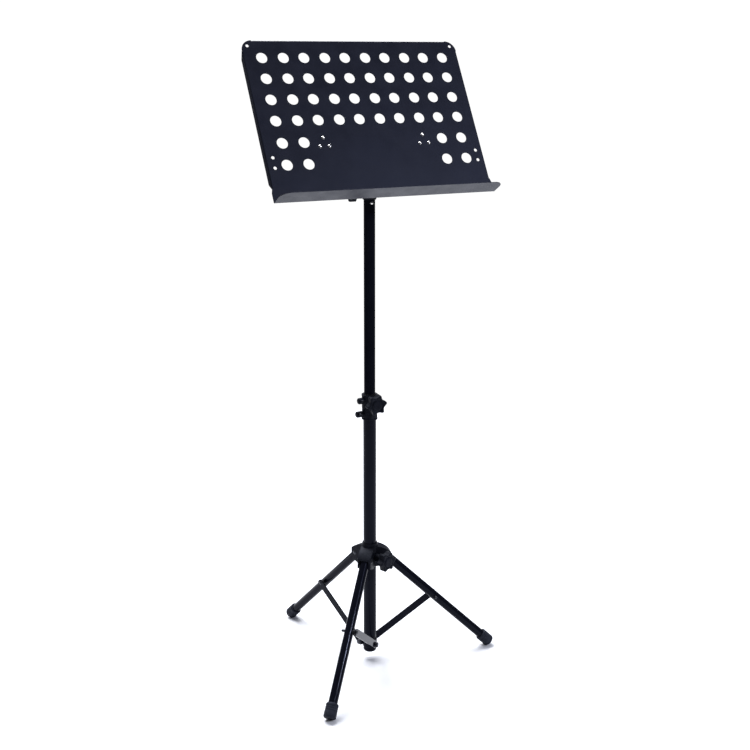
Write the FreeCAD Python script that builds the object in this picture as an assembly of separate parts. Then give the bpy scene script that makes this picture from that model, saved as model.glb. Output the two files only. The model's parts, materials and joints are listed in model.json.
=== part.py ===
import FreeCAD, Part
import math
import os

# Orchestral music stand, in millimetres.
# Origin: on the floor, under the column's axis. +Z is up, and the desk faces -Y.
# Parts of a leg are drawn with the leg's outward direction along +X and are then turned
# about the column. Parts of the desk are drawn flat and upright and are then tilted.

V = FreeCAD.Vector
X_AXIS = V(1, 0, 0)
Y_AXIS = V(0, 1, 0)
Z_AXIS = V(0, 0, 1)
ORIGIN = V(0, 0, 0)

# Column tubes
WALL = 1.2
LOWER_R = 14.3
LOWER_BORE_R = LOWER_R - WALL
LOWER_BOTTOM = 26.0
LOWER_TOP = 600.5
UPPER_R = 12.0
UPPER_BORE_R = UPPER_R - WALL
UPPER_BOTTOM = 507.5
UPPER_TOP = 1070.5
RUN = 0.08                 # radial clearance of a running fit
GAP = 0.3                  # gap between moving faces that are not a fit

# Legs
LEG_HEADING = -132.4       # first leg, measured from +X
LEG_COUNT = 3
LEG_R = 10.0
LEG_BORE_R = LEG_R - WALL
LEG_SLOPE = 44.25          # degrees below horizontal when open
HUB_PIVOT_R = 34.0
HUB_PIVOT_Z = 252.5
LEG_HEAD = 6.0             # tube beyond the pivot, towards the column
LEG_TUBE_END = 346.0
BOOT_R = 13.5
BOOT_START = 319.5
BOOT_END = 351.5
BRACE_ALONG = 163.0        # brace pivot, along the leg from the hub pivot
PIN_R = 3.0

# Braces and bottom bracket
BRACE_LOW_R = 14.0
BRACE_LOW_Z = 41.5
BRACE_HEIGHT = 16.0
BRACE_IN = 15.5            # inner and outer face of the strap, from the leg's mid-plane
BRACE_OUT = 18.0
LUG_IN = 11.0
LUG_R = 6.5
RIVET_R = 2.5

# Clamps: height clamp, leg hub clamp and desk stem clamp
CLUTCH_Z = 612.5
CLUTCH_HEADING = -94.0
HUB_KNOB_Z = 253.5
HUB_KNOB_HEADING = -71.8
HEAD_Z = 1062.5
HEAD_HEADING = 180.0
KNOB_R = 22.3
KNOB_ROOT_R = 16.8
KNOB_LOBES = 6
KNOB_THICK = 16.0
STUD_R = 3.0
PAD_R = 4.0
PAD_LENGTH = 4.0
PAD_TRAVEL = 2.5

# Desk, in its own upright plane: x across, z up, front face at y = 0
TILT = 30.57
DESK_BACK = 33.0           # hole grid's centre behind the column's axis
DESK_Z = 1265.5            # hole grid's centre above the floor
SHEET = 1.0
DESK_HALF = 241.0
DESK_TOP = 108.3
DESK_BOTTOM = -242.5
CORNER_R = 23.0
SHELF_HALF = 243.5
SHELF_DEPTH = 46.5
SHELF_CORNER_R = 22.0
FLANGE_DEPTH = 13.5
TOP_FLANGE_DEPTH = 8.0
FLANGE_LOW = -212.0
FLARE_LOW = -221.0
BEND_R = 2.5               # outer radius of every fold
HOLE_R = 11.5
HOLE_WIDE = 45.86          # gaps between hole columns alternate
HOLE_NARROW = 44.14
ROW_PITCH = 46.12
LOW_ROWS = (-117.0, -163.7)
LOW_COLUMNS = (153.8, 199.5)
CORNER_HOLE = (228.0, 96.0, 3.3)
SIDE_HOLES = ((225.5, -147.0, 3.5), (225.5, -169.0, 3.5))
DESK_RIVET_X = 111.0
DESK_RIVET_SPREAD = 10.2
DESK_RIVET_TOP = -108.0
DESK_RIVET_LOW = -126.5
DESK_RIVET_R = 2.0

# Tilt pivot and desk stem
PIVOT_Z = 1142.5
CROSS_R = 8.0
CROSS_HALF = 92.0
STEM_R = 8.0
STEM_BOTTOM = 1026.5
BOLT_R = 3.0
EAR_IN = 94.0
EAR_THICK = 2.0


def save(name, shape):
    """Write one named piece."""
    shape.exportStep("parts/" + name + ".step")


def cylinder(radius, start, end, axis=Z_AXIS):
    """A round bar from start to end along an axis through the origin."""
    return Part.makeCylinder(radius, end - start, axis * start, axis)


def ring(outer, inner, start, end, axis=Z_AXIS):
    """A round tube from start to end along an axis through the origin."""
    return cylinder(outer, start, end, axis).cut(cylinder(inner, start - 1, end + 1, axis))


def shift(shape, x=0.0, y=0.0, z=0.0):
    moved = shape.copy()
    moved.translate(V(x, y, z))
    return moved


def turn(shape, heading):
    """Turn a piece drawn along +X to its heading about the column."""
    turned = shape.copy()
    turned.rotate(ORIGIN, Z_AXIS, heading)
    return turned


def extrude_xz(points, y_from, y_to):
    """A prism whose outline lies in the XZ plane."""
    corners = [V(x, y_from, z) for x, z in points]
    face = Part.Face(Part.makePolygon(corners + corners[:1]))
    return face.extrude(V(0, y_to - y_from, 0))


def round_edges(shape, radius, wanted):
    """Fillet the edges that the test picks out."""
    return shape.makeFillet(radius, [edge for edge in shape.Edges if wanted(edge)])


def dome(face_at, side, head_r, head_height, axis=Y_AXIS):
    """A low domed head that stands on face_at and points to side (+1 or -1) of the axis."""
    ball_r = (head_r ** 2 + head_height ** 2) / (2 * head_height)
    ball = Part.makeSphere(ball_r, axis * (face_at + side * (head_height - ball_r)))
    low = min(face_at, face_at + side * head_height)
    return ball.common(cylinder(head_r, low, low + head_height, axis))


def rivet(radius, start, end, head_r, head_height, axis=Y_AXIS):
    """A shank with a low domed head on each end, along an axis through the origin."""
    heads = [dome(start, -1, head_r, head_height, axis), dome(end, 1, head_r, head_height, axis)]
    return cylinder(radius, start, end, axis).fuse(heads).removeSplitter()


# ---------------------------------------------------------------- clamp screws

def knob(start, first_lobe):
    """Star knob on the X axis, its back at x = start, with a blind hole for the stud."""
    step = 2 * math.pi / KNOB_LOBES
    tip_half = 0.08 * step

    def rim(radius, angle):
        return V(start, radius * math.cos(angle), radius * math.sin(angle))

    edges = []
    for index in range(KNOB_LOBES):
        middle = math.radians(first_lobe) + index * step
        tip_end = rim(KNOB_R, middle + tip_half)
        edges.append(Part.Arc(rim(KNOB_R, middle - tip_half), rim(KNOB_R, middle), tip_end).toShape())
        root = rim(KNOB_ROOT_R, middle + step / 2)
        next_tip = rim(KNOB_R, middle + step - tip_half)
        edges.append(Part.Arc(tip_end, root, next_tip).toShape())
    star = Part.Face(Part.Wire(edges)).extrude(V(KNOB_THICK, 0, 0))
    front = start + KNOB_THICK
    star = round_edges(star, 1.2, lambda e: abs(e.BoundBox.XMin - front) < 0.01)
    collar = cylinder(9.0, start - 2.0, start + 0.5, X_AXIS)
    button = cylinder(10.5, front - 0.5, front + 1.5, X_AXIS)
    body = star.fuse([collar, button]).removeSplitter()
    return body.cut(cylinder(STUD_R, start - 3, front - 4, X_AXIS))


def clamp_screw(name, grip_r, boss_end, heading, height, first_lobe):
    """Pad, stud, threaded insert and star knob that press on a tube of radius grip_r."""
    pad_from = grip_r + GAP
    pad_to = pad_from + PAD_LENGTH
    knob_from = boss_end + 3.0
    pieces = {
        "pad": cylinder(PAD_R, pad_from, pad_to, X_AXIS),
        "stud": cylinder(STUD_R, pad_to + 0.1, knob_from + KNOB_THICK - 4, X_AXIS),
        "insert": ring(5.2, STUD_R + RUN, boss_end - 8.0, boss_end, X_AXIS),
        "knob": knob(knob_from, first_lobe),
    }
    for piece, shape in pieces.items():
        save(name + "_" + piece, shift(turn(shape, heading), z=height))


def clamp_passage(grip_r, boss_end, heading, height):
    """The space that a clamp screw needs inside its body."""
    pad_room = cylinder(PAD_R + RUN, 0, grip_r + GAP + PAD_LENGTH + PAD_TRAVEL + 0.4, X_AXIS)
    screw_room = cylinder(STUD_R + 0.4, 0, boss_end + 1, X_AXIS)
    insert_room = cylinder(5.2, boss_end - 8.0, boss_end + 1, X_AXIS)
    room = pad_room.fuse([screw_room, insert_room])
    return shift(turn(room, heading), z=height)


# ---------------------------------------------------------------- lower column

def lower_column():
    save("lower_tube", ring(LOWER_R, LOWER_BORE_R, LOWER_BOTTOM, LOWER_TOP))
    cap_low = LOWER_BOTTOM - 6.5
    cap = cylinder(LOWER_R + 0.6, cap_low, LOWER_BOTTOM)
    cap = round_edges(cap, 5.0, lambda e: e.BoundBox.ZMax < cap_low + 0.1)
    spigot = cylinder(LOWER_BORE_R, LOWER_BOTTOM - 1, LOWER_BOTTOM + 22)
    save("lower_tube_plug", cap.fuse(spigot).removeSplitter())

    collar = ring(LOWER_R + 2.0, LOWER_R, BRACE_LOW_Z - 10, BRACE_LOW_Z + 10)
    collar = round_edges(collar, 0.8, lambda e: e.BoundBox.XMax > LOWER_R + 1)
    column_room = cylinder(LOWER_R, 0, 100)
    lug_out = BRACE_IN - GAP
    pin_in = LUG_IN - 1.0
    lug = Part.makeCylinder(LUG_R, lug_out - LUG_IN, V(BRACE_LOW_R, LUG_IN, BRACE_LOW_Z), Y_AXIS)
    neck = Part.makeBox(BRACE_LOW_R, lug_out - LUG_IN, 2 * LUG_R, V(0, LUG_IN, BRACE_LOW_Z - LUG_R))
    lug = lug.fuse(neck).cut(column_room)
    bore = Part.makeCylinder(RIVET_R, 40, V(BRACE_LOW_R, pin_in, BRACE_LOW_Z), Y_AXIS)
    head_from = BRACE_OUT + GAP
    head = cylinder(5.8, head_from, head_from + 5.6, Y_AXIS)
    head = round_edges(head, 2.2, lambda e: e.BoundBox.YMin > head_from + 5.5)
    pin = cylinder(RIVET_R, pin_in, head_from, Y_AXIS).fuse(head).removeSplitter()
    pin = shift(pin, x=BRACE_LOW_R, z=BRACE_LOW_Z)
    pins = []
    for index in range(LEG_COUNT):
        heading = LEG_HEADING + 120 * index
        collar = collar.fuse(turn(lug, heading))
        pins.append(turn(pin, heading))
    for index in range(LEG_COUNT):
        collar = collar.cut(turn(bore, LEG_HEADING + 120 * index))
    save("bottom_bracket", collar.removeSplitter())
    save("brace_lower_rivets", Part.makeCompound(pins))


def clutch():
    """Moulded collar on top of the lower tube, with its liner, screws and clamp screw."""
    low = 570.5
    high = 626.5
    outer = 16.8
    boss_end = 28.0
    body = cylinder(outer, low, high)
    for rim_from, rim_to in ((low, low + 3.5), (high - 3.5, high)):
        rim = round_edges(cylinder(outer + 0.6, rim_from, rim_to), 0.5, lambda e: True)
        body = body.fuse(rim)
    boss = shift(cylinder(10.0, 0, boss_end, X_AXIS), z=CLUTCH_Z)
    web = extrude_xz([(10, low + 5), (outer + 1, low + 5), (boss_end - 3, CLUTCH_Z - 6),
                      (10, CLUTCH_Z - 6)], -3.0, 3.0)
    body = body.fuse([turn(boss, CLUTCH_HEADING), turn(web, CLUTCH_HEADING)])
    lugs = ((-28.5, 613.0), (-33.0, low + 13.0))
    lug_r = 7.0
    for tip, height in lugs:
        lug = shift(cylinder(lug_r, tip, -8.0, X_AXIS), z=height)
        lug = round_edges(lug, 4.0, lambda e: e.BoundBox.XMax < tip + 0.1)
        body = body.fuse(lug)
    body = body.removeSplitter()
    body = body.cut(cylinder(LOWER_R, low - 1, LOWER_TOP))
    body = body.cut(cylinder(UPPER_R + 1.6, LOWER_TOP - 1, high + 1))
    body = body.cut(clamp_passage(UPPER_R, boss_end, CLUTCH_HEADING, CLUTCH_Z))
    screws = []
    for tip, height in lugs:
        at = V(tip + 8.5, 0, height)
        shank = Part.makeCylinder(2.0, 2 * lug_r - 2.4, at + V(0, -lug_r + 1.0, 0), Y_AXIS)
        head = Part.makeCylinder(3.6, 2.6, at + V(0, -lug_r - 1.6, 0), Y_AXIS)
        socket = Part.makeCylinder(1.6, 1.6, at + V(0, -lug_r - 1.7, 0), Y_AXIS)
        screw = shank.fuse(head)
        body = body.cut(screw)
        screws.append(screw.cut(socket))
    save("clutch_body", body)
    save("clutch_screws", Part.makeCompound(screws))
    liner = ring(UPPER_R + 1.6, UPPER_R + RUN, LOWER_TOP, high + 1.5)
    window = shift(turn(cylinder(PAD_R + RUN, 0, 30, X_AXIS), CLUTCH_HEADING), z=CLUTCH_Z)
    save("clutch_liner", liner.cut(window))
    clamp_screw("clutch", UPPER_R, boss_end, CLUTCH_HEADING, CLUTCH_Z, 8.0)


# ---------------------------------------------------------------- leg hub

def hub_arm(bottom, half, end):
    """One arm of the hub before its slot is cut, drawn along +X."""
    side = [V(10, 0, bottom), V(25, 0, bottom), V(end, 0, bottom + 8), V(end, 0, bottom + 30)]
    edges = [Part.makeLine(a, b) for a, b in zip(side, side[1:])]
    roof_end = V(10, 0, 278.0)
    edges.append(Part.Arc(side[-1], V(36, 0, 268.5), roof_end).toShape())
    edges.append(Part.makeLine(roof_end, side[0]))
    arm = Part.Face(Part.Wire(edges)).extrude(V(0, 2 * half, 0))
    arm = shift(arm, y=-half)
    return round_edges(arm, 2.0, lambda e: e.BoundBox.XMin > end - 0.1 and e.BoundBox.ZLength > 15)


def leg_hub():
    bottom = 230.5
    sleeve_r = 18.0
    bush_r = 15.6
    arm_half = 15.0
    arm_end = 46.0
    slot_half = LEG_R + 0.5
    slot_in = sleeve_r + 0.3
    boss_end = 41.5
    hub = cylinder(sleeve_r, bottom, 277.0)
    hub = hub.fuse(Part.makeCone(sleeve_r, sleeve_r - 1.4, 7.5, V(0, 0, 277.0)))
    hub = hub.fuse(Part.makeCylinder(sleeve_r + 1.0, 3.0, V(0, 0, 275.5)))
    arm = hub_arm(bottom, arm_half, arm_end)
    slot = extrude_xz([(slot_in, bottom - 5), (arm_end + 5, bottom - 5), (arm_end + 5, 251.1),
                       (36.3, 265.5), (slot_in, 265.5)], -slot_half, slot_half)
    bore = shift(cylinder(PIN_R, -arm_half - 1, arm_half + 1, Y_AXIS), x=HUB_PIVOT_R, z=HUB_PIVOT_Z)
    head_room = math.hypot(LEG_HEAD, LEG_R) + 0.55
    swing = shift(cylinder(head_room, -slot_half, slot_half, Y_AXIS), x=HUB_PIVOT_R, z=HUB_PIVOT_Z)
    slot = slot.fuse([bore, swing])
    pin = shift(rivet(PIN_R, -arm_half, arm_half, 5.2, 2.0), x=HUB_PIVOT_R, z=HUB_PIVOT_Z)
    slots = []
    pins = []
    for index in range(LEG_COUNT):
        heading = LEG_HEADING + 120 * index
        hub = hub.fuse(turn(arm, heading))
        slots.append(turn(slot, heading))
        pins.append(turn(pin, heading))
    boss = shift(cylinder(9.5, 0, boss_end, X_AXIS), z=HUB_KNOB_Z)
    hub = hub.fuse(turn(boss, HUB_KNOB_HEADING)).removeSplitter()
    hub = hub.cut(slots)
    hub = hub.cut(cylinder(bush_r, bottom - 1, 290.0))
    hub = hub.cut(clamp_passage(LOWER_R, boss_end, HUB_KNOB_HEADING, HUB_KNOB_Z))
    save("leg_hub", hub)
    save("leg_pivot_rivets", Part.makeCompound(pins))
    bush = ring(bush_r, LOWER_R + RUN, bottom + 2, 284.0)
    window = shift(turn(cylinder(PAD_R + RUN, 0, 30, X_AXIS), HUB_KNOB_HEADING), z=HUB_KNOB_Z)
    save("hub_bush", bush.cut(window))
    clamp_screw("hub", LOWER_R, boss_end, HUB_KNOB_HEADING, HUB_KNOB_Z, 6.0)


# ---------------------------------------------------------------- legs and braces

def set_leg(shape, heading):
    """Place a piece drawn along +X from the hub pivot onto a leg."""
    placed = shape.copy()
    placed.rotate(ORIGIN, Y_AXIS, LEG_SLOPE)
    return turn(shift(placed, x=HUB_PIVOT_R, z=HUB_PIVOT_Z), heading)


def brace_pieces():
    """Flat strap between its two pivots, and its upper rivet, drawn in the leg's plane."""
    slope = math.radians(LEG_SLOPE)
    high_r = HUB_PIVOT_R + BRACE_ALONG * math.cos(slope)
    high_z = HUB_PIVOT_Z - BRACE_ALONG * math.sin(slope)
    length = math.hypot(high_r - BRACE_LOW_R, high_z - BRACE_LOW_Z)
    rise = math.degrees(math.atan2(high_z - BRACE_LOW_Z, high_r - BRACE_LOW_R))
    half = BRACE_HEIGHT / 2
    sheet = BRACE_OUT - BRACE_IN
    strap = Part.makeBox(length, sheet, BRACE_HEIGHT, V(0, BRACE_IN, -half))
    for end in (0, length):
        strap = strap.fuse(Part.makeCylinder(half, sheet, V(end, BRACE_IN, 0), Y_AXIS))
    strap = strap.removeSplitter()
    strap = strap.cut(cylinder(RIVET_R + RUN, 0, 40, Y_AXIS))
    strap = strap.cut(shift(cylinder(RIVET_R, 0, 40, Y_AXIS), x=length))
    high_rivet = cylinder(RIVET_R, BRACE_IN, BRACE_OUT, Y_AXIS).fuse(dome(BRACE_OUT, 1, 4.6, 2.0))
    high_rivet = shift(high_rivet.removeSplitter(), x=length)
    placed = []
    for piece in (strap, high_rivet):
        piece = piece.copy()
        piece.rotate(ORIGIN, Y_AXIS, -rise)
        placed.append(shift(piece, x=BRACE_LOW_R, z=BRACE_LOW_Z))
    return placed


def leg_rivet():
    """Rivet through the leg that carries the strap's spacer, with a plain tail behind."""
    shoulder = 2.0 - LEG_R
    tail = cylinder(RIVET_R + 0.5, -17.0, shoulder, Y_AXIS)
    tail = round_edges(tail, 1.5, lambda e: e.BoundBox.YMax < -16.9)
    shank = cylinder(RIVET_R, shoulder, BRACE_IN - GAP, Y_AXIS)
    return shift(shank.fuse(tail).removeSplitter(), x=BRACE_ALONG)


def legs():
    tube = ring(LEG_R, LEG_BORE_R, -LEG_HEAD, LEG_TUBE_END, X_AXIS)
    tube = tube.cut(cylinder(PIN_R + 0.2, -20, 20, Y_AXIS))
    pin = leg_rivet()
    tube = tube.cut(shift(cylinder(RIVET_R, 0, 20, Y_AXIS), x=BRACE_ALONG))
    tube = tube.cut(shift(cylinder(RIVET_R + 0.5, -20, 0, Y_AXIS), x=BRACE_ALONG))
    spacer = shift(ring(5.5, RIVET_R, 8.0, BRACE_IN - GAP, Y_AXIS), x=BRACE_ALONG)
    spacer = spacer.cut(cylinder(LEG_R, 0, LEG_TUBE_END, X_AXIS))
    plug = cylinder(LEG_BORE_R, -LEG_HEAD + 0.5, 15.0, X_AXIS)
    plug = plug.cut(cylinder(PIN_R + RUN, -20, 20, Y_AXIS))
    boot = cylinder(BOOT_R, BOOT_START, BOOT_END, X_AXIS)
    boot = round_edges(boot, 4.0, lambda e: e.BoundBox.XMin > BOOT_END - 0.1)
    boot = round_edges(boot, 3.0, lambda e: e.BoundBox.XMax < BOOT_START + 0.1)
    boot = boot.cut(cylinder(LEG_R, BOOT_START - 1, LEG_TUBE_END, X_AXIS))
    below_floor = Part.makeBox(900, 900, 50, V(-450, -450, -50))
    strap, strap_rivet = brace_pieces()
    for index in range(LEG_COUNT):
        heading = LEG_HEADING + 120 * index
        number = "_" + str(index + 1)
        save("leg_tube" + number, set_leg(tube, heading))
        save("leg_top_plug" + number, set_leg(plug, heading))
        save("rubber_foot" + number, set_leg(boot, heading).cut(below_floor))
        save("leg_rivet" + number, set_leg(pin, heading))
        save("brace_spacer" + number, set_leg(spacer, heading))
        save("brace" + number, turn(strap, heading))
        save("brace_upper_rivet" + number, turn(strap_rivet, heading))


# ---------------------------------------------------------------- upper column

def upper_column():
    tube = ring(UPPER_R, UPPER_BORE_R, UPPER_BOTTOM, UPPER_TOP)
    stud_hole = shift(turn(cylinder(PAD_R + 0.3, 0, 30, X_AXIS), HEAD_HEADING), z=HEAD_Z)
    rivet_z = 1037.5
    rivet_hole = shift(cylinder(RIVET_R - 0.5, -30, 0, Y_AXIS), z=rivet_z)
    save("upper_tube", tube.cut(stud_hole).cut(rivet_hole))
    save("guide_bush", ring(LOWER_BORE_R - RUN, UPPER_R, UPPER_BOTTOM + 4, UPPER_BOTTOM + 30))
    plug = cylinder(UPPER_R, UPPER_BOTTOM - 5, UPPER_BOTTOM)
    plug = plug.fuse(cylinder(UPPER_BORE_R, UPPER_BOTTOM - 1, UPPER_BOTTOM + 14)).removeSplitter()
    save("upper_tube_plug", plug)

    boss_end = 27.5
    low = 1043.5
    high = 1082.0
    head = cylinder(UPPER_R + 3.0, low + 4, high)
    head = head.fuse(Part.makeCone(UPPER_R + 2.0, UPPER_R + 3.0, 4.0, V(0, 0, low)))
    head = round_edges(head.removeSplitter(), 2.0, lambda e: e.BoundBox.ZMin > high - 0.1)
    boss = shift(turn(cylinder(9.5, 0, boss_end, X_AXIS), HEAD_HEADING), z=HEAD_Z)
    head = head.fuse(boss).removeSplitter()
    head = head.cut(cylinder(UPPER_R, low - 1, UPPER_TOP))
    sleeve = cylinder(UPPER_BORE_R, 1020.5, UPPER_TOP)
    head = head.fuse(sleeve).removeSplitter()
    head = head.cut(cylinder(STEM_R + RUN, 1000.0, high + 1))
    head = head.cut(rivet_hole)
    head = head.cut(clamp_passage(STEM_R, boss_end, HEAD_HEADING, HEAD_Z))
    save("head_socket", head)
    socket_rivet = rivet(RIVET_R - 0.5, -UPPER_R - 0.1, -STEM_R - 0.6, 3.4, 1.4)
    inner_head = cylinder(UPPER_BORE_R, -20, 20)
    dome_only = socket_rivet.cut(cylinder(4.0, -STEM_R - 0.6, 0, Y_AXIS))
    save("head_rivet", shift(dome_only.common(inner_head.fuse(cylinder(30, -20, 20))), z=rivet_z))
    clamp_screw("head", STEM_R, boss_end, HEAD_HEADING, HEAD_Z, 30.0)


# ---------------------------------------------------------------- desk stem and tilt pivot

def desk_stem():
    cross = shift(ring(CROSS_R, CROSS_R - WALL, -CROSS_HALF, CROSS_HALF, X_AXIS), z=PIVOT_Z)
    save("cross_tube", cross)
    stem = ring(STEM_R, STEM_R - 1.5, STEM_BOTTOM, PIVOT_Z)
    stem = stem.cut(shift(cylinder(CROSS_R, -30, 30, X_AXIS), z=PIVOT_Z))
    save("desk_stem", stem)
    plugs = []
    bolts = []
    washers = []
    for side in (-1, 1):
        axis = X_AXIS * side
        plug = ring(CROSS_R - WALL, BOLT_R, CROSS_HALF - 16, CROSS_HALF, axis)
        plugs.append(shift(plug, z=PIVOT_Z))
        head_from = EAR_IN + EAR_THICK + GAP
        bolt = cylinder(BOLT_R, CROSS_HALF - 14, head_from + 1.6, axis)
        head = cylinder(5.5, head_from + 1.6, head_from + 5.6, axis)
        head = round_edges(head, 1.2, lambda e: min(abs(e.BoundBox.XMin), abs(e.BoundBox.XMax))
                           > head_from + 5.5)
        socket = Part.makeCylinder(2.4, 2.5, axis * (head_from + 3.2), axis)
        bolts.append(shift(bolt.fuse(head).removeSplitter().cut(socket), z=PIVOT_Z))
        inner = ring(7.5, BOLT_R, CROSS_HALF, EAR_IN - GAP, axis)
        outer = ring(8.0, BOLT_R, head_from, head_from + 1.6, axis)
        washers.extend([shift(inner, z=PIVOT_Z), shift(outer, z=PIVOT_Z)])
    save("cross_tube_plugs", Part.makeCompound(plugs))
    save("tilt_bolts", Part.makeCompound(bolts))
    save("friction_washers", Part.makeCompound(washers))


# ---------------------------------------------------------------- desk

def set_desk(shape):
    """Tilt a piece drawn on the upright desk plane and lift it into place."""
    placed = shape.copy()
    placed.rotate(ORIGIN, X_AXIS, -TILT)
    placed.translate(V(0, DESK_BACK, DESK_Z))
    return placed


def plate_outline():
    """Flat front sheet: rounded top corners, and a little wider next to the shelf."""
    k = CORNER_R * (1 - math.sqrt(0.5))
    low = DESK_BOTTOM + BEND_R
    edges = []

    def side(sign):
        points = [V(sign * SHELF_HALF, 0, low), V(sign * SHELF_HALF, 0, FLARE_LOW),
                  V(sign * DESK_HALF, 0, FLANGE_LOW), V(sign * DESK_HALF, 0, DESK_TOP - CORNER_R)]
        lines = [Part.makeLine(a, b) for a, b in zip(points, points[1:])]
        corner = Part.Arc(points[-1], V(sign * (DESK_HALF - k), 0, DESK_TOP - k),
                          V(sign * (DESK_HALF - CORNER_R), 0, DESK_TOP)).toShape()
        return lines + [corner]

    edges.extend(side(-1))
    top = DESK_HALF - CORNER_R
    edges.append(Part.makeLine(V(-top, 0, DESK_TOP), V(top, 0, DESK_TOP)))
    edges.extend(side(1))
    edges.append(Part.makeLine(V(SHELF_HALF, 0, low), V(-SHELF_HALF, 0, low)))
    wire = Part.Wire(Part.__sortEdges__(edges))
    return Part.Face(wire).extrude(V(0, SHEET, 0))


def folded_edge(depth, length):
    """A return fold: quarter bend and flange with tapered ends, running along +Z."""
    inner_r = BEND_R - SHEET
    bend = Part.makeCylinder(BEND_R, length, V(BEND_R, BEND_R, 0), Z_AXIS, 90)
    bend = bend.cut(Part.makeCylinder(inner_r, length, V(BEND_R, BEND_R, 0), Z_AXIS, 90))
    bend.rotate(V(BEND_R, BEND_R, 0), Z_AXIS, 180)
    corners = [V(0, BEND_R, 0), V(0, depth, depth), V(0, depth, length - depth), V(0, BEND_R, length)]
    flange = Part.Face(Part.makePolygon(corners + corners[:1])).extrude(V(SHEET, 0, 0))
    return bend.fuse(flange)


def hole_columns():
    """Column positions of the full hole rows, with wide and narrow gaps in turn."""
    steps = [HOLE_WIDE if index % 2 == 0 else HOLE_NARROW for index in range(9)]
    places = [0.0]
    for step in steps:
        places.append(places[-1] + step)
    middle = places[-1] / 2
    return [place - middle for place in places]


def desk_holes():
    punches = []

    def punch(x, z, radius):
        punches.append(Part.makeCylinder(radius, 10, V(x, -5, z), Y_AXIS))

    for row in (1.5, 0.5, -0.5, -1.5):
        for x in hole_columns():
            punch(x, row * ROW_PITCH, HOLE_R)
    for sign in (-1, 1):
        for z in LOW_ROWS:
            for x in LOW_COLUMNS:
                punch(sign * x, z, HOLE_R)
        for x, z, radius in (CORNER_HOLE,) + SIDE_HOLES:
            punch(sign * x, z, radius)
    for x, z in desk_rivet_places():
        punch(x, z, DESK_RIVET_R)
    return Part.makeCompound(punches)


def desk_rivet_places():
    places = []
    for sign in (-1, 1):
        middle = sign * DESK_RIVET_X
        places.append((middle, DESK_RIVET_TOP))
        places.append((middle - DESK_RIVET_SPREAD, DESK_RIVET_LOW))
        places.append((middle + DESK_RIVET_SPREAD, DESK_RIVET_LOW))
    return places


def desk_plate():
    plate = plate_outline()
    # Room for the round of each fold: the flat sheet stops where its bend begins.
    fold_high = DESK_TOP - CORNER_R
    fold_length = fold_high - FLANGE_LOW
    for sign in (-1, 1):
        strip_x = DESK_HALF - BEND_R if sign > 0 else -DESK_HALF - 5
        strip = Part.makeBox(BEND_R + 5, 10, fold_length, V(strip_x, -5, FLANGE_LOW))
        plate = plate.cut(strip)
    top_half = DESK_HALF - CORNER_R
    plate = plate.cut(Part.makeBox(2 * top_half, 10, 10, V(-top_half, -5, DESK_TOP - BEND_R)))

    left = folded_edge(FLANGE_DEPTH, fold_length)
    left.translate(V(-DESK_HALF, 0, FLANGE_LOW))
    right = left.mirror(ORIGIN, X_AXIS)
    top = folded_edge(TOP_FLANGE_DEPTH, 2 * top_half)
    top.rotate(ORIGIN, Y_AXIS, 90)
    top.translate(V(-top_half, 0, DESK_TOP))

    inner_r = BEND_R - SHEET
    bend_z = DESK_BOTTOM + BEND_R
    bend_y = -inner_r
    bend = Part.makeCylinder(BEND_R, 2 * SHELF_HALF, V(-SHELF_HALF, bend_y, bend_z), X_AXIS)
    bend = bend.cut(Part.makeCylinder(inner_r, 2 * SHELF_HALF, V(-SHELF_HALF, bend_y, bend_z), X_AXIS))
    quarter = Part.makeBox(2 * SHELF_HALF, BEND_R, BEND_R, V(-SHELF_HALF, bend_y, bend_z - BEND_R))
    bend = bend.common(quarter)
    shelf_from = bend_y
    shelf = Part.makeBox(2 * SHELF_HALF, SHELF_DEPTH + shelf_from, SHEET,
                         V(-SHELF_HALF, -SHELF_DEPTH, DESK_BOTTOM))
    shelf = round_edges(shelf, SHELF_CORNER_R, lambda e: e.BoundBox.ZLength > 0.5
                        and e.BoundBox.YMax < -SHELF_DEPTH + 0.1)
    sheet = plate.fuse([left, right, top, bend, shelf]).removeSplitter()
    return sheet.cut(desk_holes())


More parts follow.
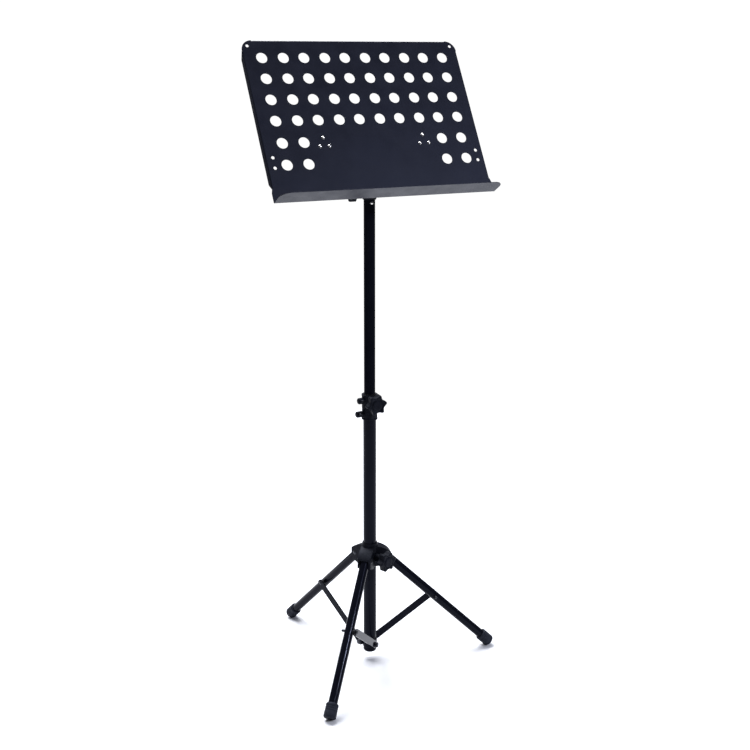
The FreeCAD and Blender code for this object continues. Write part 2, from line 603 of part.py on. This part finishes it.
def pivot_bracket(sign):
    """Pressed angle behind the desk: a foot for three rivets and an ear for the pivot bolt."""
    pivot_v, pivot_back = pivot_on_desk()
    foot_in = EAR_IN
    foot_out = DESK_RIVET_X + DESK_RIVET_SPREAD + 9.0
    foot_low = DESK_RIVET_LOW - 9.5
    foot_high = DESK_RIVET_TOP + 9.0
    ear_r = 11.0
    foot = Part.makeBox(foot_out - foot_in, EAR_THICK, foot_high - foot_low, V(foot_in, SHEET, foot_low))
    foot = round_edges(foot, 6.0, lambda e: e.BoundBox.YLength > 1 and e.BoundBox.XMin > foot_out - 0.1)
    ear = Part.makeBox(EAR_THICK, pivot_back - SHEET, foot_high - foot_low, V(foot_in, SHEET, foot_low))
    eye = Part.makeCylinder(ear_r, EAR_THICK, V(foot_in, pivot_back, pivot_v), X_AXIS)
    taper_points = [(SHEET, foot_low), (pivot_back - 2, pivot_v - ear_r + 0.5),
                    (pivot_back - 2, pivot_v + ear_r - 0.5), (SHEET, foot_high)]
    corners = [V(foot_in, y, z) for y, z in taper_points]
    taper = Part.Face(Part.makePolygon(corners + corners[:1])).extrude(V(EAR_THICK, 0, 0))
    ear = ear.common(taper).fuse([eye, taper])
    bracket = foot.fuse(ear).removeSplitter()
    bracket = round_edges(bracket, 1.9, lambda e: e.BoundBox.XMax < foot_in + 0.1
                          and e.BoundBox.YMax < SHEET + 0.1 and e.BoundBox.ZLength > 20)
    bore = Part.makeCylinder(BOLT_R + RUN, 10, V(foot_in - 4, pivot_back, pivot_v), X_AXIS)
    bracket = bracket.cut(bore)
    if sign < 0:
        bracket = bracket.mirror(ORIGIN, X_AXIS)
    for x, z in desk_rivet_places():
        bracket = bracket.cut(Part.makeCylinder(DESK_RIVET_R, 10, V(x, 0, z), Y_AXIS))
    return bracket


def pivot_on_desk():
    """Tilt pivot's height on the desk plane and its distance behind the front face."""
    tilt = math.radians(TILT)
    up = -DESK_BACK * math.sin(tilt) + (PIVOT_Z - DESK_Z) * math.cos(tilt)
    back = -DESK_BACK * math.cos(tilt) - (PIVOT_Z - DESK_Z) * math.sin(tilt)
    return up, back


def desk():
    save("desk_plate", set_desk(desk_plate()))
    save("pivot_bracket_left", set_desk(pivot_bracket(-1)))
    save("pivot_bracket_right", set_desk(pivot_bracket(1)))
    rivets = []
    for x, z in desk_rivet_places():
        rivets.append(shift(rivet(DESK_RIVET_R, 0, SHEET + EAR_THICK, 4.0, 2.0), x=x, z=z))
    save("desk_rivets", set_desk(Part.makeCompound(rivets)))


os.makedirs("parts", exist_ok=True)
lower_column()
clutch()
leg_hub()
legs()
upper_column()
desk_stem()
desk()
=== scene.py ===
import json
import math

import bmesh
import bpy
from mathutils import Matrix, Vector


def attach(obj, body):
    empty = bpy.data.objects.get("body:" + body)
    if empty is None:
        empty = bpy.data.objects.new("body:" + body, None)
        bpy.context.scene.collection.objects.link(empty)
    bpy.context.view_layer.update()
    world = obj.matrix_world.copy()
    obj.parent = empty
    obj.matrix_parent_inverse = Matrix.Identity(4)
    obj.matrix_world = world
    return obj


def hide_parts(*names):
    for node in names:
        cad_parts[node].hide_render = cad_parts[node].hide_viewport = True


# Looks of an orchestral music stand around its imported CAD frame. All lengths are in metres.

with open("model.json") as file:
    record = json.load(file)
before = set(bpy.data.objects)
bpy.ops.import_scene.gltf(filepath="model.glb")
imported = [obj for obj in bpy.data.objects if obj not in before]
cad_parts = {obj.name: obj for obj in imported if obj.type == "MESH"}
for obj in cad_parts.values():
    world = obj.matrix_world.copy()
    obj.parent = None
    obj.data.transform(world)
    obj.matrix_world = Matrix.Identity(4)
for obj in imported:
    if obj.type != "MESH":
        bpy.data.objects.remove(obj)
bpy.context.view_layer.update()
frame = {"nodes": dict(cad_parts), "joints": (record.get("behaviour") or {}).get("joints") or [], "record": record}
nodes = frame["nodes"]
joints = {joint["name"]: joint for joint in frame["joints"]}

LEG_SLOPE = math.radians(44.25)      # leg below horizontal when open
LEG_COUNT = 3
CLAMPS = ("clutch", "hub", "head")
BOOT_START = 0.3195                  # boot, along the leg from its hub pivot
BOOT_END = 0.3515
BOOT_R = 0.0135
BOOT_MOUTH_R = 0.01005
LOBES = 6
KNOB_TIP_R = 0.0223
KNOB_ROOT_R = 0.0168
KNOB_TIP_HALF = math.radians(4.8)
KNOB_THICK = 0.016
KNOB_COLLAR = 0.002                  # collar between a grip's back and its body
KNOB_BORE_R = 0.0032
KNOB_SIDES = 144
THREAD_PITCH = 0.001
THREAD_DEPTH = 0.00055
RINGS_PER_TURN = 8                   # mesh rings in one turn of thread
STUD_R = 0.003
STUD_SIDES = 20
STUD_CHAMFER = 0.0006
BOOT_SIDES = 72
BOOT_GROOVES = 3
BOOT_GROOVE_FROM = 0.0075            # first groove's middle, from the mouth
BOOT_GROOVE_PITCH = 0.0045
BOOT_FILLET = 0.004
CROSS_R = 0.008
WELD_R = 0.0013
WELD_RIPPLE = 0.00018
WELD_RIPPLES = 26
WELD_STEPS = 160
WELD_SIDES = 10
WELD_GAP = 0.0003                    # bead's centre line outside the tube's wall

FLOOR_R = 2.0
FLOOR_Z = -0.0002
FLOOR_SIDES = 96
BACKDROP_GLOW = 1.05                 # world's strength for rays from the camera
ROOM_GLOW = 0.12                     # and for every other ray

# Lamps: name, place, target, width, height, watts, colour
LAMPS = (
    ("overhead", (0.0, 2.2, 4.0), (0.0, 0.1, 0.0), 4.0, 3.0, 450, (0.93, 0.95, 1.0)),
    ("key", (1.6, -2.9, 2.6), (0.0, 0.0, 0.5), 0.3, 0.3, 70, (0.85, 0.88, 1.0)),
    ("desk_fill", (1.5, -2.3, 2.9), (0.0, 0.0, 1.15), 1.4, 1.0, 14, (0.6, 0.68, 1.0)),
    ("side", (-3.2, -1.0, 1.2), (0.0, 0.0, 0.8), 0.3, 2.2, 1, (1.0, 1.0, 1.0)),
    ("edge", (2.8, 1.6, 1.4), (0.0, 0.0, 0.8), 0.3, 2.2, 4, (1.0, 1.0, 1.0)),
)

CAMERA_PLACE = (-1.0506, -2.2255, 1.3283)
CAMERA_TURN = (math.radians(74.99), 0.0, math.radians(-25.54))
CAMERA_LENS = 57.08


# ------------------------------------------------------------------ materials

COOL = (0.74, 0.79, 1.0, 1.0)        # tint of the gloss on the black finishes
NOISE_LOW = 0.3                      # a noise texture's values lie mostly between these
NOISE_HIGH = 0.7


class Shader:
    """A material under construction: one Principled shader and its node tree."""

    def __init__(self, name):
        self.material = bpy.data.materials.new(name)
        self.material.use_nodes = True
        self.tree = self.material.node_tree
        self.tree.nodes.clear()
        out = self.add("ShaderNodeOutputMaterial")
        self.main = self.add("ShaderNodeBsdfPrincipled")
        self.link(self.main.outputs["BSDF"], out.inputs["Surface"])
        self.place = self.add("ShaderNodeTexCoord").outputs["Object"]

    def add(self, kind, **settings):
        node = self.tree.nodes.new(kind)
        for key, value in settings.items():
            setattr(node, key, value)
        return node

    def link(self, start, end):
        self.tree.links.new(start, end)

    def put(self, **values):
        for key, value in values.items():
            self.main.inputs[key.replace("_", " ")].default_value = value

    def noise(self, scale, detail=3.0, roughness=0.5, stretch=(1, 1, 1)):
        mapping = self.add("ShaderNodeMapping")
        mapping.inputs["Scale"].default_value = stretch
        self.link(self.place, mapping.inputs["Vector"])
        node = self.add("ShaderNodeTexNoise")
        node.inputs["Scale"].default_value = scale
        node.inputs["Detail"].default_value = detail
        node.inputs["Roughness"].default_value = roughness
        self.link(mapping.outputs["Vector"], node.inputs["Vector"])
        return node.outputs["Fac"]

    def spread(self, value, low, high):
        """Map a noise value onto low..high."""
        node = self.add("ShaderNodeMapRange")
        node.inputs["From Min"].default_value = NOISE_LOW
        node.inputs["From Max"].default_value = NOISE_HIGH
        node.inputs["To Min"].default_value = low
        node.inputs["To Max"].default_value = high
        self.link(value, node.inputs["Value"])
        return node.outputs["Result"]

    def blend(self, value, low, high):
        """Base colour that runs from low to high with a noise value."""
        node = self.add("ShaderNodeValToRGB")
        ramp = node.color_ramp
        ramp.elements[0].position = NOISE_LOW
        ramp.elements[0].color = (*low, 1.0)
        ramp.elements[1].position = NOISE_HIGH
        ramp.elements[1].color = (*high, 1.0)
        self.link(value, node.inputs["Fac"])
        self.link(node.outputs["Color"], self.main.inputs["Base Color"])

    def bump(self, layers, edge=None):
        """Stack bump layers of (height, strength, distance) over an optional softened edge."""
        normal = None
        if edge:
            soft = self.add("ShaderNodeBevel", samples=4)
            soft.inputs["Radius"].default_value = edge
            normal = soft.outputs["Normal"]
        for height, strength, distance in layers:
            node = self.add("ShaderNodeBump")
            node.inputs["Strength"].default_value = strength
            node.inputs["Distance"].default_value = distance
            self.link(height, node.inputs["Height"])
            if normal:
                self.link(normal, node.inputs["Normal"])
            normal = node.outputs["Normal"]
        self.link(normal, self.main.inputs["Normal"])


def powder_coat(name, dark, light, rough_low, rough_high, peel, specular):
    """Baked powder paint on steel: orange-peel ripple, fine grit and a little uneven gloss."""
    shader = Shader(name)
    shader.blend(shader.noise(14.0, 4.0), dark, light)
    shader.link(shader.spread(shader.noise(40.0, 3.0), rough_low, rough_high),
                shader.main.inputs["Roughness"])
    shader.put(Metallic=0.0, IOR=1.5, Specular_IOR_Level=specular, Specular_Tint=COOL)
    ripple = shader.noise(520.0, 2.0)
    grit = shader.noise(2600.0, 2.0, 0.6)
    shader.bump([(ripple, peel, 0.0003), (grit, peel * 0.6, 0.0001)], 0.0004)
    return shader.material


def moulded_plastic(name, dark, light, rough_low, rough_high):
    """Glass-filled moulded plastic: spark-eroded grain and faint flow marks."""
    shader = Shader(name)
    shader.blend(shader.noise(60.0, 5.0, 0.6, (1, 1, 0.3)), dark, light)
    shader.link(shader.spread(shader.noise(120.0, 3.0), rough_low, rough_high),
                shader.main.inputs["Roughness"])
    shader.put(IOR=1.49, Specular_IOR_Level=0.08, Specular_Tint=COOL)
    grain = shader.noise(1800.0, 3.0, 0.7)
    shader.bump([(grain, 0.35, 0.00012)], 0.0003)
    return shader.material


def soft_rubber(name):
    """Matt moulded rubber with a fine grain."""
    shader = Shader(name)
    shader.blend(shader.noise(90.0, 4.0), (0.007, 0.008, 0.012), (0.014, 0.016, 0.023))
    shader.link(shader.spread(shader.noise(70.0), 0.55, 0.8), shader.main.inputs["Roughness"])
    shader.put(IOR=1.52, Specular_IOR_Level=0.2, Specular_Tint=COOL)
    grain = shader.noise(1500.0, 4.0, 0.6)
    shader.bump([(grain, 0.4, 0.00012)])
    return shader.material


def bare_metal(name, dark, light, rough_low, rough_high):
    """Plated or machined metal: fine tool marks and slightly uneven shine."""
    shader = Shader(name)
    shader.blend(shader.noise(160.0, 4.0), dark, light)
    marks = shader.noise(900.0, 3.0, 0.6)
    shader.link(shader.spread(marks, rough_low, rough_high), shader.main.inputs["Roughness"])
    shader.put(Metallic=1.0)
    shader.bump([(marks, 0.12, 0.0001)], 0.0002)
    return shader.material


def make_materials():
    """One material for each slot of the record."""
    return {
        "black_tube": powder_coat("satin_black_paint", (0.003, 0.0033, 0.006), (0.005, 0.0055, 0.009),
                                  0.09, 0.14, 0.04, 0.07),
        "desk_sheet": powder_coat("desk_paint", (0.004, 0.0045, 0.010), (0.007, 0.008, 0.016),
                                  0.38, 0.46, 0.20, 0.26),
        "black_plastic": moulded_plastic("black_moulding", (0.004, 0.0045, 0.007),
                                         (0.008, 0.009, 0.013), 0.42, 0.58),
        "black_rubber": soft_rubber("foot_rubber"),
        "nickel_rivet": bare_metal("nickel_plate", (0.62, 0.60, 0.57), (0.80, 0.78, 0.74),
                                   0.14, 0.28),
        "black_fastener": powder_coat("black_oxide", (0.010, 0.010, 0.011), (0.020, 0.020, 0.020),
                                      0.32, 0.45, 0.08, 0.4),
        "zinc_steel": bare_metal("zinc_plate", (0.48, 0.49, 0.51), (0.66, 0.67, 0.68), 0.24, 0.42),
        "brass_insert": bare_metal("turned_brass", (0.62, 0.43, 0.16), (0.78, 0.58, 0.26),
                                   0.2, 0.36),
        "black_nylon": moulded_plastic("black_nylon", (0.012, 0.012, 0.012), (0.02, 0.02, 0.02),
                                       0.34, 0.46),
        "white_nylon": moulded_plastic("white_nylon", (0.62, 0.60, 0.55), (0.74, 0.72, 0.67),
                                       0.36, 0.5),
    }


def dress(materials):
    """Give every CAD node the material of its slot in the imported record."""
    for row in frame["record"]["subparts"]:
        mesh = nodes[row["node"]].data
        mesh.materials.clear()
        mesh.materials.append(materials[row["material_slot"]])


# ------------------------------------------------------------------ mesh tools

def bridge(work, row, after):
    """Quads between two closed rows of equally many vertices."""
    count = len(row)
    for index in range(count):
        following = (index + 1) % count
        work.faces.new((row[index], row[following], after[following], after[index]))


def lofted(name, rings, material, body, place):
    """A closed skin through rings of points, with a cap on the first and the last ring."""
    work = bmesh.new()
    rows = [[work.verts.new(place @ Vector(point)) for point in ring] for ring in rings]
    for row, after in zip(rows, rows[1:]):
        bridge(work, row, after)
    work.faces.new(list(reversed(rows[0])))
    work.faces.new(rows[-1])
    bmesh.ops.recalc_face_normals(work, faces=work.faces)
    return finished(work, name, material, body)


def finished(work, name, material, body):
    """Turn a finished bmesh into a smooth piece that rides on a body."""
    mesh = bpy.data.meshes.new(name)
    work.to_mesh(mesh)
    work.free()
    for face in mesh.polygons:
        face.use_smooth = True
    mesh.materials.append(material)
    piece = bpy.data.objects.new(name, mesh)
    bpy.context.scene.collection.objects.link(piece)
    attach(piece, body)
    return piece


def along(axis, origin):
    """Placement whose local X runs along an axis from a point, with local Y kept level."""
    x = Vector(axis).normalized()
    side = Vector((0, 0, 1)).cross(x)
    y = side.normalized()
    z = x.cross(y)
    turned = Matrix((x, y, z)).transposed().to_4x4()
    return Matrix.Translation(origin) @ turned


def reach(node, place):
    """Lowest and highest X, and the direction of the widest point, in a local placement."""
    back = place.inverted()
    points = [back @ vertex.co for vertex in nodes[node].data.vertices]
    widest = max(points, key=lambda p: math.hypot(p.y, p.z))
    return min(p.x for p in points), max(p.x for p in points), math.atan2(widest.z, widest.y)


def circle(x, radius, count):
    """A ring of points about the local X axis."""
    step = 2 * math.pi / count
    return [(x, radius * math.cos(i * step), radius * math.sin(i * step)) for i in range(count)]


# ------------------------------------------------------------------ clamp knobs and studs

def star_radius(angle, phase):
    """Outline of the star grip: blunt tips with hollow flanks between them."""
    step = 2 * math.pi / LOBES
    off = abs((angle - phase + step / 2) % step - step / 2)
    if off <= KNOB_TIP_HALF:
        return KNOB_TIP_R
    share = (off - KNOB_TIP_HALF) / (step / 2 - KNOB_TIP_HALF)
    return KNOB_ROOT_R + (KNOB_TIP_R - KNOB_ROOT_R) * (1 - share) ** 2


def star_ring(x, inset, phase, count):
    """The star outline at x, drawn in by inset."""
    ring = []
    for index in range(count):
        angle = index * 2 * math.pi / count
        radius = star_radius(angle, phase) - inset
        ring.append((x, radius * math.cos(angle), radius * math.sin(angle)))
    return ring


def star_knob(clamp, materials):
    """Moulded grip with a hollow back, a collar round the stud and a ringed domed face."""
    joint = joints[clamp + "_knob_turn"]
    place = along(joint["axis"], Vector(joint["pos_m"]))
    node = clamp + "_knob"
    low, high, phase = reach(node, place)
    back = low + KNOB_COLLAR
    front = back + KNOB_THICK
    count = KNOB_SIDES
    rings = [
        circle(low + 0.004, KNOB_BORE_R, count),
        circle(low, KNOB_BORE_R, count),
        circle(low, 0.0084, count),
        circle(low + 0.0005, 0.0090, count),
        circle(back + 0.0026, 0.0092, count),
        circle(back + 0.0030, 0.0096, count),
        star_ring(back + 0.0030, 0.0032, phase, count),
        star_ring(back + 0.0026, 0.0027, phase, count),
        star_ring(back + 0.0004, 0.0023, phase, count),
        star_ring(back, 0.0019, phase, count),
        star_ring(back, 0.0006, phase, count),
        star_ring(back + 0.0005, 0.0001, phase, count),
        star_ring(back + 0.0020, 0.0, phase, count),
        star_ring(front - 0.0040, 0.0, phase, count),
        star_ring(front - 0.0016, 0.00015, phase, count),
        star_ring(front - 0.0006, 0.0007, phase, count),
        star_ring(front - 0.0001, 0.0017, phase, count),
        star_ring(front, 0.0028, phase, count),
        circle(front - 0.0002, 0.0130, count),
        circle(front - 0.0010, 0.0124, count),
        circle(front - 0.0011, 0.0115, count),
        circle(front - 0.0002, 0.0109, count),
        circle(front + 0.0006, 0.0103, count),
        circle(high - 0.0003, 0.0092, count),
        circle(high - 0.0001, 0.0070, count),
        circle(high - 0.0004, 0.0040, count),
        circle(high - 0.0005, 0.0008, count),
    ]
    piece = lofted(clamp + "_star_grip", rings, materials["black_plastic"],
                   clamp + "_grip", place)
    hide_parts(node)


def threaded_stud(clamp, materials):
    """The clamp's stud with a rolled thread and chamfered ends."""
    joint = joints[clamp + "_knob_turn"]
    place = along(joint["axis"], Vector(joint["pos_m"]))
    node = clamp + "_stud"
    low, high, _ = reach(node, place)
    steps = int((high - low) / (THREAD_PITCH / RINGS_PER_TURN))
    rings = []
    for step in range(steps + 1):
        x = low + (high - low) * step / steps
        ring = []
        edge = min(x - low, high - x)
        for index in range(STUD_SIDES):
            angle = 2 * math.pi * index / STUD_SIDES
            phase = (x / THREAD_PITCH - index / STUD_SIDES) % 1.0
            radius = STUD_R - THREAD_DEPTH * abs(2 * phase - 1)
            if edge < STUD_CHAMFER:
                radius = min(radius, STUD_R - (STUD_CHAMFER - edge))
            ring.append((x, radius * math.cos(angle), radius * math.sin(angle)))
        rings.append(ring)
    piece = lofted(clamp + "_threaded_rod", rings, materials["zinc_steel"],
                   clamp + "_grip", place)
    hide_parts(node)


# ------------------------------------------------------------------ rubber feet

def rubber_boot(index, materials):
    """Pushed-on rubber foot with three grip grooves, worn flat where it stands."""
    hinge = joints["leg_" + str(index) + "_hinge"]
    pivot = Vector(hinge["pos_m"])
    outward = Vector((pivot.x, pivot.y, 0)).normalized()
    axis = outward * math.cos(LEG_SLOPE) - Vector((0, 0, math.sin(LEG_SLOPE)))
    place = along(axis, pivot)
    profile = [(BOOT_START + 0.002, BOOT_MOUTH_R), (BOOT_START + 0.0003, BOOT_MOUTH_R),
               (BOOT_START, BOOT_MOUTH_R + 0.0004), (BOOT_START + 0.0002, 0.0112),
               (BOOT_START + 0.0009, 0.0124), (BOOT_START + 0.0020, 0.0132),
               (BOOT_START + 0.0030, BOOT_R)]
    for groove in range(BOOT_GROOVES):
        middle = BOOT_START + BOOT_GROOVE_FROM + BOOT_GROOVE_PITCH * groove
        profile += [(middle - 0.0011, BOOT_R), (middle - 0.0006, BOOT_R - 0.0002),
                    (middle - 0.0004, BOOT_R - 0.0008), (middle + 0.0004, BOOT_R - 0.0008),
                    (middle + 0.0006, BOOT_R - 0.0002), (middle + 0.0011, BOOT_R)]
    straight = BOOT_END - BOOT_FILLET
    for step in range(9):
        angle = math.pi / 2 * step / 8
        drop = BOOT_FILLET * (1 - math.cos(angle))
        profile.append((straight + BOOT_FILLET * math.sin(angle), BOOT_R - drop))
    for radius in (0.008, 0.0065, 0.005, 0.0035, 0.002, 0.0006):
        profile.append((BOOT_END, radius))
    rings = [circle(x, radius, BOOT_SIDES) for x, radius in profile]
    node = "rubber_foot_" + str(index)
    piece = lofted("foot_boot_" + str(index), rings, materials["black_rubber"],
                   "leg_" + str(index), place)
    for vertex in piece.data.vertices:
        vertex.co.z = max(vertex.co.z, 0.0)
    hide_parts(node)


# ------------------------------------------------------------------ weld under the cross tube

def weld_bead(materials):
    """Rippled fillet weld where the stem meets the cross tube from below."""
    pivot = Vector(joints["desk_tilt"]["pos_m"])
    path = []
    for step in range(WELD_STEPS):
        angle = 2 * math.pi * step / WELD_STEPS
        out = Vector((math.cos(angle), math.sin(angle), 0))
        rise = CROSS_R * abs(math.cos(angle))
        centre = pivot + out * (CROSS_R + WELD_GAP) - Vector((0, 0, rise + WELD_GAP))
        path.append((centre, out))
    work = bmesh.new()
    rows = []
    for step, (centre, out) in enumerate(path):
        radius = WELD_R + WELD_RIPPLE * math.sin(step * 2 * math.pi * WELD_RIPPLES / WELD_STEPS)
        row = []
        for index in range(WELD_SIDES):
            turn = 2 * math.pi * index / WELD_SIDES
            offset = out * math.cos(turn) + Vector((0, 0, 1)) * math.sin(turn)
            row.append(work.verts.new(centre + offset * radius))
        rows.append(row)
    for step, row in enumerate(rows):
        bridge(work, row, rows[(step + 1) % WELD_STEPS])
    bmesh.ops.recalc_face_normals(work, faces=work.faces)
    finished(work, "cross_tube_weld", materials["black_tube"], "stem")


# ------------------------------------------------------------------ stage, light and camera

def stage_floor():
    """A pale round floor, level with the feet."""
    corners = []
    for index in range(FLOOR_SIDES):
        angle = 2 * math.pi * index / FLOOR_SIDES
        corners.append((FLOOR_R * math.cos(angle), FLOOR_R * math.sin(angle), FLOOR_Z))
    mesh = bpy.data.meshes.new("floor")
    mesh.from_pydata(corners, [], [tuple(range(FLOOR_SIDES))])
    shader = Shader("pale_floor")
    shader.blend(shader.noise(1.5), (0.86, 0.86, 0.87), (0.88, 0.88, 0.88))
    shader.put(Roughness=0.9)
    mesh.materials.append(shader.material)
    floor = bpy.data.objects.new("floor", mesh)
    bpy.context.scene.collection.objects.link(floor)


def soft_light(name, place, target, width, height, watts, tint):
    """A rectangular lamp that faces a target."""
    data = bpy.data.lights.new(name, "AREA")
    data.shape = "RECTANGLE"
    data.size = width
    data.size_y = height
    data.energy = watts
    data.color = tint
    lamp = bpy.data.objects.new(name, data)
    lamp.location = place
    lamp.rotation_euler = (Vector(target) - Vector(place)).to_track_quat("-Z", "Y").to_euler()
    bpy.context.scene.collection.objects.link(lamp)


def room():
    """White behind the object for the camera, and a dim room for every other ray."""
    world = bpy.data.worlds.new("room")
    world.use_nodes = True
    tree = world.node_tree
    tree.nodes.clear()
    out = tree.nodes.new("ShaderNodeOutputWorld")
    seen = tree.nodes.new("ShaderNodeBackground")
    seen.inputs["Color"].default_value = (1, 1, 1, 1)
    seen.inputs["Strength"].default_value = BACKDROP_GLOW
    around = tree.nodes.new("ShaderNodeBackground")
    around.inputs["Color"].default_value = (0.9, 0.92, 1.0, 1)
    around.inputs["Strength"].default_value = ROOM_GLOW
    rays = tree.nodes.new("ShaderNodeLightPath")
    mix = tree.nodes.new("ShaderNodeMixShader")
    tree.links.new(rays.outputs["Is Camera Ray"], mix.inputs["Fac"])
    tree.links.new(around.outputs["Background"], mix.inputs[1])
    tree.links.new(seen.outputs["Background"], mix.inputs[2])
    tree.links.new(mix.outputs["Shader"], out.inputs["Surface"])
    bpy.context.scene.world = world
    bpy.context.scene.view_settings.view_transform = "Standard"


def camera():
    """The camera at the viewing place and angle named at the top."""
    data = bpy.data.cameras.new("camera")
    data.lens = CAMERA_LENS
    data.sensor_width = 36.0
    eye = bpy.data.objects.new("camera", data)
    eye.location = CAMERA_PLACE
    eye.rotation_euler = CAMERA_TURN
    bpy.context.scene.collection.objects.link(eye)
    bpy.context.scene.camera = eye


materials = make_materials()
dress(materials)
for clamp in CLAMPS:
    star_knob(clamp, materials)
    threaded_stud(clamp, materials)
for index in range(1, LEG_COUNT + 1):
    rubber_boot(index, materials)
weld_bead(materials)
stage_floor()
room()
for lamp in LAMPS:
    soft_light(*lamp)
camera()
